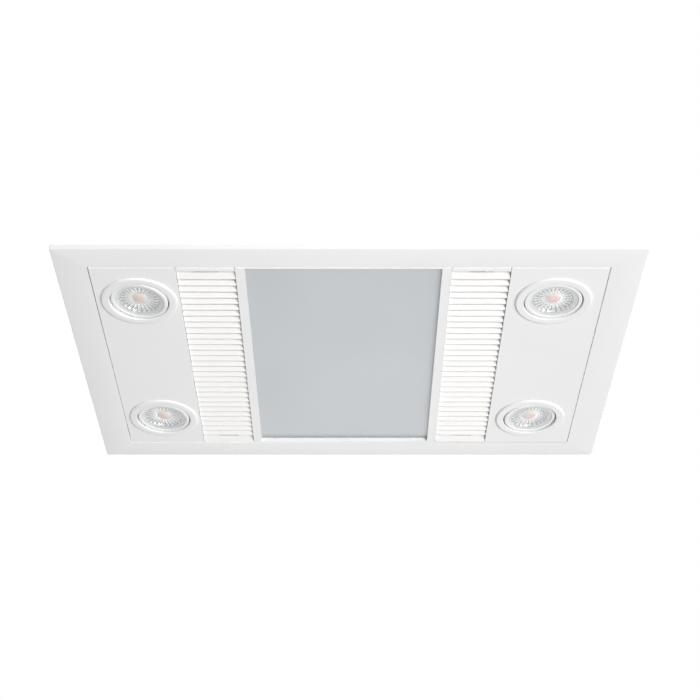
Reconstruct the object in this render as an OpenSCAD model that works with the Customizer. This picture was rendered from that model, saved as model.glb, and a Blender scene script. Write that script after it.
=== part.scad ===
// Ceiling unit for a bathroom: exhaust fan, warm-air heater and four tilting lamps
// behind one flat fascia.
// The ceiling's underside is z = 0, +Z points up into the roof space, X runs along
// the length of the fascia and +Y points away from the viewer.

/* [Fascia] */
// Length of the fascia
face_w = 610; // [602:1:640]
// Depth of the fascia
face_d = 420; // [404:1:450]
// How far the fascia stands below the ceiling
face_h = 5; // [4.8:0.1:6]
// Thickness of the fascia mouldings
face_t = 2.4; // [2:0.1:2.6]
// Thickness of the upturned rim that meets the ceiling
rim_t = 2; // [1.6:0.1:2.6]
// Radius of the fascia's lower edge
edge_r = 1.2; // [0.6:0.1:1.8]
// Width of the border along the two short sides
border_side = 34; // [30:0.5:36]
// Width of the border along the near and far sides
border_end = 31; // [28:0.5:34]
// Open seam round the front panel
seam = 0.9; // [0.6:0.1:1.2]
// How far the front panel's lap reaches over the border's back
lap = 6; // [4:0.5:8]

/* [Front panel] */
// Mean width of the two lamp panels
lamp_panel_w = 95.6; // [93:0.1:98]
// How far the grilles and the centre panel stand to the left of the middle
group_left = 6; // [0:0.5:7]
// Width of the bars beside the centre panel
bar_w = 9.7; // [9:0.1:11]
// Width of each grille bay
grille_w = 62.3; // [56:0.1:64]
// Thickness of the skirts and ribs behind the front panel
rib_t = 1.6; // [1.2:0.1:1.8]
// How far the skirts of the grille bays reach above the ceiling line
skirt_h = 6.5; // [6:0.1:9]
// Thickness of the shelves that take the fascia screws
shelf_t = 2; // [1.6:0.1:2.4]
// Length of the shelves across the ends of the grille bays
shelf_l = 14; // [12.5:0.5:17]
// Depth of the centre panel behind the face
centre_recess = 5; // [3.5:0.1:6]
// Thickness of the centre panel
centre_t = 2; // [1.5:0.1:3]
// How far the centre panel rests over the edges of its opening
centre_seat = 3.5; // [2.5:0.1:4.2]

/* [Grilles] */
// Distance from slat to slat
slat_pitch = 11; // [9:0.5:13]
// Thickness of the slats
slat_t = 1.4; // [1:0.1:1.8]
// Height of the leaning slats
slat_rise = 6.5; // [5:0.1:7]
// Lean of the slats from the face
slat_lean = 45; // [40:1:55]
// Thickness of the side rails
rail_t = 1.5; // [1.2:0.1:2]
// How far the side rails stand back from the face
rail_set = 4.6; // [3.6:0.1:4.8]
// Gap between a grille and the sides of its bay
grille_gap = 0.5; // [0.3:0.1:0.8]
// Width of the flat bar at the near end
end_bar = 6.3; // [5:0.1:7]
// Thickness of the flat bar at the near end
end_bar_t = 2.1; // [1.4:0.1:2.2]
// Length of the wide slat at the near end
near_band = 13.8; // [11:0.1:16]
// Length of the finger slots
slot_l = 25; // [18:1:30]
// Width of the finger slots
slot_w = 7.6; // [6.5:0.1:8]
// Width of the tongues that hold a grille
tongue_w = 12; // [8:0.5:14]
// How far the tongues reach above their shelf
tongue_up = 3; // [2:0.5:5]

/* [Lamps] */
// Diameter of the lamp rings
ring_d = 82; // [79:0.5:84]
// Height of the lamp rings below the face
ring_h = 2.5; // [2:0.1:3.2]
// Radius of the lamp rings' outer edge
ring_edge = 1.4; // [0.8:0.1:1.8]
// Width of the lamp rings' flat band
ring_band = 9.3; // [8.8:0.1:9.6]
// Diameter of the holes in the front panel
lamp_hole_d = 70; // [69:0.5:72]
// Distance of the lamps' middles from the ends of the front panel
lamp_end = 58.1; // [56:0.1:62]
// How far the lamps stand inward from the middle of their panel
lamp_in = 1.3; // [0:0.1:2]
// Gap round the tilting lamp head
head_gap = 0.8; // [0.6:0.1:1.2]
// Diameter of the lens
lens_d = 54; // [50:0.5:55]
// Height of the lens body
lens_h = 9; // [8:0.1:11]
// Height of the tilt pins above the face
pivot_up = 3; // [2.5:0.1:3.5]
// Radius of the tilt pins
tilt_pin_r = 1.6; // [1.2:0.1:2]
// Diameter of the heat sinks
sink_d = 44; // [36:1:48]
// Height of the heat sinks
sink_h = 28; // [22:1:32]
// Number of fins on a heat sink
sink_fins = 16; // [10:1:20]
// Tilt at which the four lamps were left, near left, far left, near right, far right
rest_tilt = [4, 1.5, 0, -3]; // [-8:0.5:8]

/* [Housing] */
// Thickness of the sheet steel
sheet = 1; // [0.8:0.1:1.2]
// Room between the duct or the motor and the top of the housing
top_room = 10; // [9.5:0.5:16]
// Room between the front panel and the housing's walls
mouth_gap = 1.5; // [1:0.1:2.5]
// Width of the housing's flange
flange_w = 20; // [16:0.5:21]
// Diameter of the mounting holes in the flange
mount_hole_d = 5.5; // [4.5:0.1:6.5]
// Distance between the mounting holes along each short side
mount_hole_pitch = 260; // [200:1:300]
// Depth of the top cover's turned-down edge
cover_lip = 8; // [6:0.5:8.5]
// Width of the angle brackets that take the fascia's screws
bracket_w = 16; // [12:0.5:18]
// Height of the angle brackets
bracket_h = 18; // [14:0.5:24]
// Radius of the small screws
screw_r = 2; // [1.6:0.1:2.2]
// Height of the beads pressed into the long walls and the cover
bead_h = 2.5; // [1.5:0.1:3]
// Width of the pressed beads
bead_w = 14; // [10:0.5:16]

/* [Fan] */
// Diameter of the impeller
impeller_d = 150; // [140:1:154]
// Height of the impeller
impeller_h = 61; // [50:1:64]
// Number of blades on the impeller
blades = 36; // [24:1:44]
// Thickness of the blades
blade_t = 1; // [0.8:0.1:1.2]
// Diameter of the air inlet
inlet_d = 118; // [108:1:119]
// How far the fan's axis stands to the left of the centre panel's middle
fan_left = 55; // [50:1:58]
// Height of the scroll
scroll_h = 74; // [72:1:78]
// Wall of the scroll
scroll_t = 1.8; // [1.4:0.1:2.2]
// Width of the scroll's foot on the tray
scroll_foot = 4; // [3:0.5:5]
// Gap between the impeller and the scroll at its tongue
cutoff = 8; // [6:0.5:9]
// How much the scroll's radius grows to its outlet
scroll_grow = 45; // [38:1:46]
// Radius of the motor's shaft
shaft_r = 4; // [3:0.1:5]
// Diameter of the motor
motor_d = 88; // [76:1:94]
// Height of the motor's can
motor_h = 42; // [36:1:46]
// Height of the rubber grommets under the motor
grommet_h = 6; // [4:0.5:7]
// Height of the tray's turned-up edges
tray_edge = 14; // [10:0.5:18]
// Radius of the inlet ring beyond its throat
inlet_flange = 20; // [18:0.5:22]

/* [Air path] */
// Height of the heater's frame
heater_h = 44.5; // [42:0.5:47]
// Height of the heater's core
core_h = 26; // [20:1:30]
// Distance between the heater's fins
fin_pitch = 5; // [4:0.5:8]
// Wall of the air box
box_t = 2; // [1.6:0.1:2.4]
// Diameter of the duct spigot
duct_d = 123; // [98:0.5:124]
// Length of the duct spigot
duct_l = 45; // [36:1:60]
// Wall of the duct spigot
duct_t = 1.5; // [1.2:0.1:2]
// Thickness of the spigot's flange
spigot_flange_t = 1.6; // [1.2:0.1:2.4]
// Radius of the changeover flap's axle
flap_axle_r = 3; // [2.5:0.1:4]
// Thickness of the changeover flap
flap_t = 2; // [1.5:0.1:2.5]
// Wall of the bushes that carry the flap's axle
bush_t = 2; // [1.5:0.1:2.5]
// Thickness of the bushes' heads
bush_head_t = 1; // [0.8:0.1:1.2]
// Diameter of the motor that turns the flap
flap_motor_d = 44; // [36:1:48]
// Depth of the motor that turns the flap
flap_motor_t = 11.5; // [9:0.5:12.5]
// Gap round the back-draft shutter
shutter_gap = 1.6; // [1.2:0.1:2.2]
// How far the shutter's axle stands above the duct's middle
shutter_up = 12; // [8:0.5:15]
// Distance of the shutter's axle from the housing's wall
shutter_out = 20; // [16:0.5:24]
// Radius of the shutter's axle
shutter_axle_r = 2; // [1.6:0.1:2.4]

/* [Electrical] */
// Length of the terminal box
term_l = 100; // [84:1:120]
// Height of the terminal box
term_h = 60; // [52:1:66]
// Depth of the terminal box
term_d = 34; // [30:1:40]
// Wall of the terminal box
term_t = 2; // [1.6:0.1:2.4]
// Diameter of the cable that the gland takes
cable_d = 9; // [7:0.1:11]
// Number of poles on the terminal block
poles = 6; // [4:1:7]
// Distance from pole to pole
pole_pitch = 10; // [8:0.5:11]
// Depth of the terminal block
block_w = 14; // [12:0.5:18]
// Height of the terminal block
block_h = 18; // [16:0.5:24]
// Length of each lamp driver
driver_l = 106; // [90:1:120]
// Width of each lamp driver
driver_w = 30; // [24:1:34]
// Height of each lamp driver
driver_h = 24; // [20:1:28]
// Gap between the two lamp drivers
driver_gap = 14; // [10:1:30]
// Diameter of the motor's capacitor
cap_d = 32; // [28:1:36]
// Length of the motor's capacitor
cap_l = 52; // [44:1:60]
// Gap between the capacitor and the tray's turned-up edge
cap_gap = 12; // [8:0.5:20]

/* [Fits] */
// Clearance between pieces that fit together
fit = 0.3; // [0.2:0.05:0.4]
// Running clearance between a pin and its bore
run = 0.05; // [0.03:0.01:0.08]

/* [Hidden] */
$fn = 64;
places = ["front_left", "rear_left", "front_right", "rear_right"];

// Heights of the fascia's layers
face_z = -face_h;
back_z = face_z + face_t;
lap_z = -sheet - fit;
shelf_z = skirt_h - shelf_t;

// Plan of the fascia
in_w = face_w - 2 * border_side;
in_d = face_d - 2 * border_end;
panel_w = in_w - 2 * seam;
panel_d = in_d - 2 * seam;
centre_w = panel_w - 2 * (lamp_panel_w + grille_w + bar_w);
middle_x = -group_left;
bay_in = middle_x + centre_w / 2 + bar_w;
bay_out = bay_in + grille_w;
bay_x = (bay_in + bay_out) / 2;
left_bay_out = 2 * middle_x - bay_out;
centre_d = panel_d - 2 * rib_t;
centre_z = face_z + centre_recess;

// Grille ends and slats
near_y = -panel_d / 2;
first_y = near_y + end_bar + near_band;
far_band_min = 12;
slats = floor((panel_d - end_bar - near_band - far_band_min) / slat_pitch);
last_y = first_y + slats * slat_pitch;
slat_run = slat_rise / tan(slat_lean);
rail_top = shelf_z - fit;
far_run = panel_d / 2 - last_y - slat_t - 0.5;
tongue_y = panel_d / 2 - end_bar + slat_t / 2;
screw_y = panel_d / 2 - 7;
screw_dx = slot_l / 2 + 6;

// Lamps
left_lamp_x = (left_bay_out - panel_w / 2) / 2 + lamp_in;
right_lamp_x = (panel_w / 2 + bay_out) / 2 - lamp_in;
lamp_pitch = panel_d - 2 * lamp_end;
lamp_at = [for (x = [left_lamp_x, right_lamp_x], y = [-lamp_pitch / 2, lamp_pitch / 2]) [x, y]];
pivot_z = face_z + pivot_up;
ring_r = ring_d / 2;
ring_bore_r = ring_r - ring_band;
sleeve_r = lamp_hole_d / 2 - fit;
sleeve_top = 6;
head_r = ring_bore_r - head_gap;
head_low = -pivot_up - 1.2;
head_high = head_low + 1 + lens_h + fit;
lens_r = lens_d / 2;
board_t = 1.6;
sink_base = 2.4;
lip = 0.7;

// Housing
house_in_w = panel_w + 2 * mouth_gap;
house_in_d = panel_d + 2 * mouth_gap;
house_w = house_in_w + 2 * sheet;
house_d = house_in_d + 2 * sheet;
mount_x = house_w / 2 + flange_w / 2;
cover_gap = 0.2;

// Fan
fan_x = middle_x - fan_left;
deck_z = skirt_h + heater_h - 3;
deck_top = deck_z + sheet;
scroll_top = deck_top + scroll_h;
impeller_r = impeller_d / 2;
impeller_z = deck_top + 4;
tongue_a = -60;
scroll_turn = 330;
tongue_r = impeller_r + cutoff;
scroll_end_r = tongue_r + scroll_grow;
hub_r = shaft_r + 8;
hub_l = 14;
foot_z = scroll_top + grommet_h;
foot_t = 2;
motor_top = foot_z + foot_t + motor_h;
shaft_end = motor_top + 2;
motor_foot = motor_d / 2 + 4;

// Air box and heater
box_x = bay_in - 9;
box_end = house_in_w / 2 - fit;
box_z = skirt_h + 1 + heater_h;
box_y = panel_d / 2 - shelf_l;
box_floor = box_z + box_t;
flap_x = bay_out + 3;
flap_z = box_floor + flap_axle_r + 3;
flap_l = flap_x - box_x - box_t - 2;
flap_y = box_y - box_t - 1;
duct_r = duct_d / 2;
duct_z = box_floor + 3 + duct_r;
house_h = max(duct_z + duct_r, shaft_end + 3) + top_room;
wall_top = house_h - sheet;
shutter_x = house_w / 2 + shutter_out;
shutter_z = duct_z + shutter_up;
shutter_r = duct_r - duct_t - shutter_gap;
outlet_y = [-scroll_end_r, tongue_r * sin(tongue_a)];
cut_x = box_x - fit;
core_z = box_z - 6 - core_h;
core_y = box_y - 16;

// Terminal box
term_x = -house_w / 2 - term_d;
term_z = wall_top - cover_lip - 8 - term_h;
gland_r = cable_d / 2 + 3.5;

// Box between two corners, given as a pair for each axis
module span(x, y, z) {
    translate([x[0], y[0], z[0]])
        cube([x[1] - x[0], y[1] - y[0], z[1] - z[0]]);
}

// Centred rectangular tube with its wall outside the clear width and depth
module tube4(w, d, t, z) {
    difference() {
        span([-w / 2 - t, w / 2 + t], [-d / 2 - t, d / 2 + t], z);
        span([-w / 2, w / 2], [-d / 2, d / 2], [z[0] - 1, z[1] + 1]);
    }
}

// Upright ring
module ring(r_out, r_in, z) {
    translate([0, 0, z[0]]) difference() {
        cylinder(r = r_out, h = z[1] - z[0]);
        translate([0, 0, -1]) cylinder(r = r_in, h = z[1] - z[0] + 2);
    }
}

// Upright rod
module rod(r, z) {
    translate([0, 0, z[0]]) cylinder(r = r, h = z[1] - z[0]);
}

// Rod along Y
module rod_y(r, y) {
    translate([0, y[0], 0]) rotate([-90, 0, 0]) cylinder(r = r, h = y[1] - y[0]);
}

// Rod along X
module rod_x(r, x) {
    translate([x[0], 0, 0]) rotate([0, 90, 0]) cylinder(r = r, h = x[1] - x[0]);
}

// Copies at both ends of Y and at both ends of X
module both_y() {
    children();
    mirror([0, 1, 0]) children();
}

module both_x() {
    children();
    mirror([1, 0, 0]) children();
}

// The right-hand bay's piece and its mirror image at the left-hand bay
module both_bays() {
    translate([middle_x, 0, 0]) both_x() translate([-middle_x, 0, 0]) children();
}

// Polygon in the YZ plane, drawn along X
module along_x(points, x) {
    translate([x[0], 0, 0]) rotate([90, 0, 90]) linear_extrude(x[1] - x[0]) polygon(points);
}

// Polygon in the XZ plane, drawn along Y
module along_y(points, y) {
    translate([0, y[1], 0]) rotate([90, 0, 0]) linear_extrude(y[1] - y[0]) polygon(points);
}

// Pan-head screw that points up, its head's top face at the origin
module pan_screw(r, l) {
    rod(2 * r, [-1.2 * r, 0]);
    rod(r, [-fit, l]);
}

function polar(r, a) = [r * cos(a), r * sin(a)];

// Points of an arc about c
function arc(c, r, a0, a1, n = 5) =
    [for (i = [0:n]) c + polar(r, a0 + (a1 - a0) * i / n)];

// Section across a plate whose two lower edges are rounded
function soft_plate(w, z0, z1, r) =
    concat(arc([-w / 2 + r, z0 + r], r, 180, 270), arc([w / 2 - r, z0 + r], r, 270, 360),
           [[w / 2, z1], [-w / 2, z1]]);

// Border of the fascia, with a rim that turns up to the ceiling
module outer_frame() {
    color("white") difference() {
        intersection() {
            along_y(soft_plate(face_w, face_z, 0, edge_r), [-face_d / 2, face_d / 2]);
            along_x(soft_plate(face_d, face_z, 0, edge_r), [-face_w / 2, face_w / 2]);
        }
        span([-in_w / 2, in_w / 2], [-in_d / 2, in_d / 2], [face_z - 1, 1]);
        span([-face_w / 2 + rim_t, face_w / 2 - rim_t], [-face_d / 2 + rim_t, face_d / 2 - rim_t],
             [back_z, 1]);
    }
}

// Skirt, end walls and screw shelves of the right-hand grille bay
module grille_bay() {
    for (x = [bay_in - rib_t, bay_out])
        span([x, x + rib_t], [-panel_d / 2, panel_d / 2], [back_z, skirt_h]);
    both_y() {
        span([bay_in, bay_out], [panel_d / 2 - rib_t, panel_d / 2], [back_z + fit, skirt_h]);
        difference() {
            span([bay_in, bay_out], [panel_d / 2 - shelf_l, panel_d / 2], [shelf_z, skirt_h]);
            translate([bay_x + screw_dx, screw_y, 0]) rod(screw_r + fit, [shelf_z - 1, skirt_h + 1]);
            span([bay_x - tongue_w / 2 - fit, bay_x + tongue_w / 2 + fit],
                 [tongue_y - slat_t / 2 - fit, tongue_y + slat_t / 2 + fit],
                 [shelf_z - 1, skirt_h + 1]);
        }
    }
}

// Front panel with the lamp panels, the bars and the bays, one moulding
module front_panel() {
    color("white") difference() {
        union() {
            difference() {
                span([-panel_w / 2, panel_w / 2], [-panel_d / 2, panel_d / 2], [face_z, back_z]);
                both_bays() span([bay_in, bay_out], [-panel_d, panel_d], [face_z - 1, back_z + 1]);
                span([middle_x - centre_w / 2, middle_x + centre_w / 2],
                     [-centre_d / 2, centre_d / 2], [face_z - 1, back_z + 1]);
            }
            difference() {
                span([-in_w / 2 - lap, in_w / 2 + lap], [-in_d / 2 - lap, in_d / 2 + lap],
                     [back_z, lap_z]);
                span([-panel_w / 2 + rib_t, panel_w / 2 - rib_t],
                     [-panel_d / 2 + rib_t, panel_d / 2 - rib_t], [back_z - 1, 0]);
            }
            both_bays() grille_bay();
            translate([middle_x, 0, 0]) tube4(centre_w, centre_d, rib_t, [back_z, centre_z]);
            for (side = [[-panel_w / 2, left_bay_out], [bay_out, panel_w / 2]]) {
                both_y() for (x = [side[0] + rib_t, side[1] - rib_t - 6])
                    span([x, x + 6], [lamp_pitch / 2 - 1, lamp_pitch / 2 + 1], [back_z, lap_z]);
                span(side, [-rib_t / 2, rib_t / 2], [back_z, skirt_h]);
            }
        }
        for (p = lamp_at) translate(p) rod(lamp_hole_d / 2, [face_z - 1, 1]);
    }
}

// Brushed panel behind the middle opening
module centre_panel() {
    half = centre_w / 2 + centre_seat;
    color("silver")
        span([middle_x - half, middle_x + half], [-centre_d / 2 - rib_t, centre_d / 2 + rib_t],
             [centre_z, centre_z + centre_t]);
}

// Bead along X, pressed up out of a sheet at z = 0, with straight sides below the sheet
module bead(l, below) {
    function section(w) = [[-w / 2, -below], [w / 2, -below], [w / 2, 0], [w / 2 - bead_h, bead_h],
                           [bead_h - w / 2, bead_h], [-w / 2, 0]];
    intersection() {
        along_x(section(bead_w), [-l / 2, l / 2]);
        along_y(section(l), [-bead_w / 2, bead_w / 2]);
    }
}

// Section of a slat whose rounded lower edge ends at y on the face
function slat(y, run) =
    let (r = slat_t / 2, lean = atan2(slat_rise, run), c = [y - r, face_z + r])
    let (up = slat_rise - r)
    concat([[c[0] + r * sin(lean) - (up - r * cos(lean)) / tan(lean), face_z + slat_rise],
            [c[0] - r * sin(lean) - (up + r * cos(lean)) / tan(lean), face_z + slat_rise]],
           arc(c, r, 270 - lean, 450 - lean, 4));

// Grille in its bay at the right: rails, leaning slats, finger slots and tongues
module grille() {
    x0 = bay_in + grille_gap;
    x1 = bay_out - grille_gap;
    far_y = panel_d / 2;
    far_foot = face_z + slat_t / 2 + (far_y - slat_t / 2 - tongue_y) * slat_rise / far_run;
    color("white") difference() {
        union() {
            for (x = [x0, x1 - rail_t])
                span([x, x + rail_t], [near_y + rib_t + fit, far_y - rib_t - fit],
                     [face_z + rail_set, rail_top]);
            for (k = [1:slats]) along_x(slat(first_y + k * slat_pitch, slat_run), [x0, x1]);
            along_x(slat(first_y, near_band), [x0, x1]);
            along_x(slat(far_y, far_run), [x0, x1]);
            span([x0, x1], [near_y, near_y + end_bar], [face_z, face_z + end_bar_t]);
            span([x0, x1], [near_y + end_bar - slat_t, near_y + end_bar],
                 [face_z, face_z + slat_rise]);
            for (end = [[-tongue_y, face_z + end_bar_t / 2], [tongue_y, far_foot]])
                span([bay_x - tongue_w / 2, bay_x + tongue_w / 2],
                     [end[0] - slat_t / 2, end[0] + slat_t / 2], [end[1], skirt_h + tongue_up]);
        }
        for (y = [near_y + end_bar, last_y])
            span([bay_x - slot_l / 2, bay_x + slot_l / 2], [y, y + slot_w],
                 [face_z - 1, face_z + slat_rise + 1]);
    }
}

module intake_grille() {
    translate([2 * (middle_x - bay_x), 0, 0]) grille();
}

module warm_air_grille() {
    grille();
}

// Lamp ring i, clipped into the front panel
module lamp_ring(i) {
    color("white") translate(lamp_at[i]) difference() {
        union() {
            rotate_extrude() polygon(concat(
                [[ring_bore_r, face_z]], [[ring_bore_r, face_z - ring_h + 0.6]],
                arc([ring_bore_r + 0.6, face_z - ring_h + 0.6], 0.6, 180, 270, 3),
                arc([ring_r - ring_edge, face_z - ring_h + ring_edge], ring_edge, 270, 360, 5),
                [[ring_r, face_z]]));
            ring(sleeve_r, ring_bore_r, [face_z, sleeve_top]);
        }
        translate([0, 0, pivot_z])
            rod_y(tilt_pin_r + run, [-sleeve_r - 1, sleeve_r + 1]);
    }
}

// Whatever tilts with lamp i, drawn about its tilt axis
module tilted(i) {
    translate([lamp_at[i][0], lamp_at[i][1], pivot_z]) rotate([0, rest_tilt[i], 0]) children();
}

// Round head with a spherical rim and two tilt pins
module lamp_head(i) {
    color("white") tilted(i) difference() {
        union() {
            intersection() {
                sphere(head_r);
                rod(head_r + 1, [head_low, head_high]);
            }
            rod_y(tilt_pin_r, [-sleeve_r + fit, sleeve_r - fit]);
        }
        rod(lens_r - lip, [head_low - 1, head_low + 2]);
        rod(lens_r + fit, [head_low + 1, head_high + 1]);
    }
}

// Clear lens: stepped front and a cone that gathers the light
module lamp_lens(i) {
    z0 = head_low + 1;
    steps = [for (k = [0:4]) lens_r - lip - 1 - k * 3.2];
    color([0.85, 0.87, 0.9]) tilted(i) rotate_extrude() polygon(concat(
        [[0, z0 + 0.8]], [for (k = [4:-1:0]) each [[steps[k] - 1.6, z0 + 0.8], [steps[k], z0 + 0.2]]],
        [[lens_r - lip - 0.4, z0], [lens_r, z0], [lens_r, z0 + 1.8], [10, z0 + lens_h],
         [8, z0 + lens_h], [7, z0 + lens_h - 2.5], [0, z0 + lens_h - 2.5]]));
}

// Board with the light-emitting chip
module lamp_board(i) {
    z0 = head_low + 1 + lens_h;
    color([0.9, 0.8, 0.7]) tilted(i) {
        rod(lens_r - 1, [z0, z0 + board_t]);
        rod(5.5, [z0 - 0.8, z0 + 0.1]);
    }
}

// Finned heat sink
module lamp_heat_sink(i) {
    z0 = head_low + 1 + lens_h + board_t;
    color("gray") tilted(i) union() {
        rod(lens_r, [z0, z0 + sink_base]);
        rod(sink_d / 5, [z0 + sink_base / 2, z0 + sink_h]);
        for (k = [0:sink_fins - 1]) rotate(k * 360 / sink_fins)
            span([sink_d / 5 - 1, sink_d / 2], [-0.6, 0.6], [z0 + sink_base / 2, z0 + sink_h]);
    }
}

// Two bent spring clips on each lamp ring, their feet on the front panel's back
module lamp_clips() {
    clip_t = 0.8;
    r0 = sleeve_r;
    profile = [[r0, back_z + fit], [r0, sleeve_top], [r0 + clip_t, sleeve_top],
               [r0 + 8, back_z + 1.6], [r0 + 9.5, back_z], [r0 + 8.3, back_z],
               [r0 + 7.2, back_z + 1.2], [r0 + clip_t, sleeve_top - 1.6],
               [r0 + clip_t, back_z + fit]];
    color("silver") for (p = lamp_at) translate(p) both_y() difference() {
        along_x(profile, [-5, 5]);
        rod(sleeve_r, [face_z, sleeve_top + 1]);
    }
}

// Screws that pull the fascia up, hidden behind the grilles' ends
module fascia_screws() {
    color("silver") both_bays() both_y() translate([bay_x + screw_dx, screw_y, shelf_z])
        pan_screw(screw_r, shelf_t + fit + 6);
}

// Angle brackets on the housing's walls that take the fascia screws
module fascia_brackets() {
    z0 = skirt_h + fit;
    y1 = house_in_d / 2;
    x = [-bracket_w / 2, bracket_w / 2];
    t = 1.5 * sheet;
    color("silver") both_bays() both_y() translate([bay_x + screw_dx, 0, 0]) difference() {
        union() {
            span(x, [panel_d / 2 - shelf_l + 1.5, y1], [z0, z0 + t]);
            span(x, [y1 - t, y1], [z0, z0 + bracket_h]);
        }
        translate([0, screw_y, 0]) rod(screw_r + run, [z0 - 1, z0 + t + 1]);
    }
}

// Places of the beads on the inner faces of the housing's long walls, facing outward
module wall_beads() {
    for (z = [0.5, 0.76]) both_y() translate([0, house_in_d / 2, z * wall_top])
        rotate([-90, 0, 0]) children();
}

// Sheet-steel housing with a flange under the ceiling and beads in its long walls
module housing() {
    color("lightgray") difference() {
        union() {
            tube4(house_in_w, house_in_d, sheet, [-sheet, wall_top]);
            tube4(house_in_w, house_in_d, sheet + flange_w, [-sheet, 0]);
            wall_beads() translate([0, 0, sheet]) bead(0.82 * house_w, sheet / 2);
        }
        wall_beads() bead(0.82 * house_w, sheet);
        both_x() both_y() translate([mount_x, mount_hole_pitch / 2, 0])
            rod(mount_hole_d / 2, [-sheet - 1, 1]);
        translate([0, 0, duct_z]) rod_x(duct_r + fit, [house_in_w / 2 - 1, house_w / 2 + 1]);
        translate([0, 0, term_z + term_h / 2]) rod_x(12, [-house_w / 2 - 1, -house_in_w / 2 + 1]);
    }
}

// Places of the beads on the cover's inner face
module cover_beads() {
    for (y = [-0.3, -0.1, 0.1, 0.3]) translate([0, y * house_d, wall_top]) children();
}

// Top cover with turned-down edges and pressed beads
module top_cover() {
    color("lightgray") difference() {
        union() {
            span([-house_w / 2 - cover_gap - sheet, house_w / 2 + cover_gap + sheet],
                 [-house_d / 2 - cover_gap - sheet, house_d / 2 + cover_gap + sheet],
                 [wall_top, house_h]);
            tube4(house_w + 2 * cover_gap, house_d + 2 * cover_gap, sheet,
                  [house_h - cover_lip, wall_top + sheet / 2]);
            cover_beads() translate([0, 0, sheet]) bead(0.84 * house_w, sheet / 2);
        }
        cover_beads() bead(0.84 * house_w, sheet);
    }
}

// Screws round the top cover
module cover_screws() {
    z = house_h - cover_lip / 2;
    y = house_d / 2 + cover_gap + sheet;
    color("silver") for (x = [-0.38, 0, 0.38]) both_y() translate([x * house_w, y, z])
        rotate([90, 0, 0]) mirror([0, 0, 1]) rod(1.8 * screw_r, [0, screw_r]);
}

// Tray that carries the fan and parts the intake side from the warm side
module fan_deck() {
    x0 = left_bay_out - rib_t - 4;
    x1 = cut_x;
    y1 = house_in_d / 2;
    low = skirt_h + 1.5;
    color("lightgray") difference() {
        union() {
            span([x0, x1], [-y1, y1], [deck_z, deck_top]);
            for (x = [x0, x1 - sheet])
                span([x, x + sheet], [-y1 + 2.5, y1 - 2.5], [low, deck_z + sheet / 2]);
            both_y() span([x0, x1], [y1 - sheet, y1], [deck_z + sheet / 2, deck_top + tray_edge]);
        }
        translate([fan_x, 0, 0]) rod(inlet_d / 2 + 4, [deck_z - 1, deck_top + 1]);
    }
}

// Bell-mouthed ring that leads the air into the impeller
module inlet_ring() {
    r = 6;
    throat = inlet_d / 2;
    color([0.2, 0.2, 0.2]) translate([fan_x, 0, deck_z]) rotate_extrude() polygon(concat(
        arc([throat + r, 0], r, 180, 270),
        [[throat + inlet_flange, -r], [throat + inlet_flange, -r + 1.4]],
        [[throat + 14, -r + 1.4], [throat + 14, 0], [throat + 3.5, 0], [throat + 3.5, sheet + 1]],
        [[throat + 1.4, sheet + 6], [throat, sheet + 6]]));
}

// Solid of the scroll's spiral and its outlet, at an offset outside the inner face
module scroll_body(o, z, x_end) {
    translate([0, 0, z[0]]) linear_extrude(z[1] - z[0])
        polygon([for (i = [0:44]) polar(tongue_r + o + scroll_grow * i / 44,
                                        tongue_a + scroll_turn * i / 44)]);
    span([0, x_end], [outlet_y[0] - o, outlet_y[1] + o], z);
}

// Scroll casing round the impeller, open towards the air box
module fan_scroll() {
    x_end = cut_x - fan_x;
    color([0.25, 0.25, 0.27]) translate([fan_x, 0, 0]) difference() {
        union() {
            scroll_body(scroll_t, [deck_top, scroll_top], x_end);
            scroll_body(scroll_t + scroll_foot, [deck_top, deck_top + scroll_t], x_end);
        }
        scroll_body(0, [deck_top - 1, scroll_top - scroll_t], x_end + 1);
        rod(hub_r + 4, [scroll_top - scroll_t - 1, scroll_top + 1]);
        for (a = [45:90:315]) translate(polar(motor_foot, a))
            rod(screw_r, [scroll_top - scroll_t - 1, scroll_top + 1]);
    }
}

// Outline of one forward-curved blade
function blade_outline() =
    let (n = 5, r0 = impeller_r - 13, r1 = impeller_r - 0.6)
    let (line = [for (i = [0:n]) [r0 + (r1 - r0) * i / n, 11 * pow(i / n, 1.7)]])
    concat([for (p = line) polar(p[0], p[1] - blade_t * 28.6 / p[0])],
           [for (i = [n:-1:0]) polar(line[i][0], line[i][1] + blade_t * 28.6 / line[i][0])]);

// Forward-curved impeller
module impeller() {
    z0 = impeller_z;
    z1 = impeller_z + impeller_h;
    color([0.15, 0.15, 0.16]) translate([fan_x, 0, 0]) difference() {
        union() {
            ring(impeller_r, impeller_r - 13.5, [z0, z0 + 1.6]);
            rod(impeller_r, [z1 - 1.6, z1]);
            rod(hub_r, [z1 - hub_l, z1 + 3]);
            for (k = [0:blades - 1]) rotate(k * 360 / blades)
                translate([0, 0, z0 + 0.8]) linear_extrude(impeller_h - 1.6)
                    polygon(blade_outline());
        }
        rod(shaft_r, [z0, z1 + 5]);
    }
}

// Hexagon nut under the impeller's hub
module impeller_nut() {
    nut_h = 5;
    color("silver") translate([fan_x, 0, impeller_z + impeller_h - hub_l - nut_h]) difference() {
        cylinder(r = 1.9 * shaft_r, h = nut_h, $fn = 6);
        rod(shaft_r, [-1, nut_h + 1]);
    }
}

// Shaft through the motor and the hub
module motor_shaft() {
    color("silver") translate([fan_x, 0, 0])
        rod(shaft_r, [impeller_z + impeller_h - hub_l - 7, shaft_end]);
}

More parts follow.
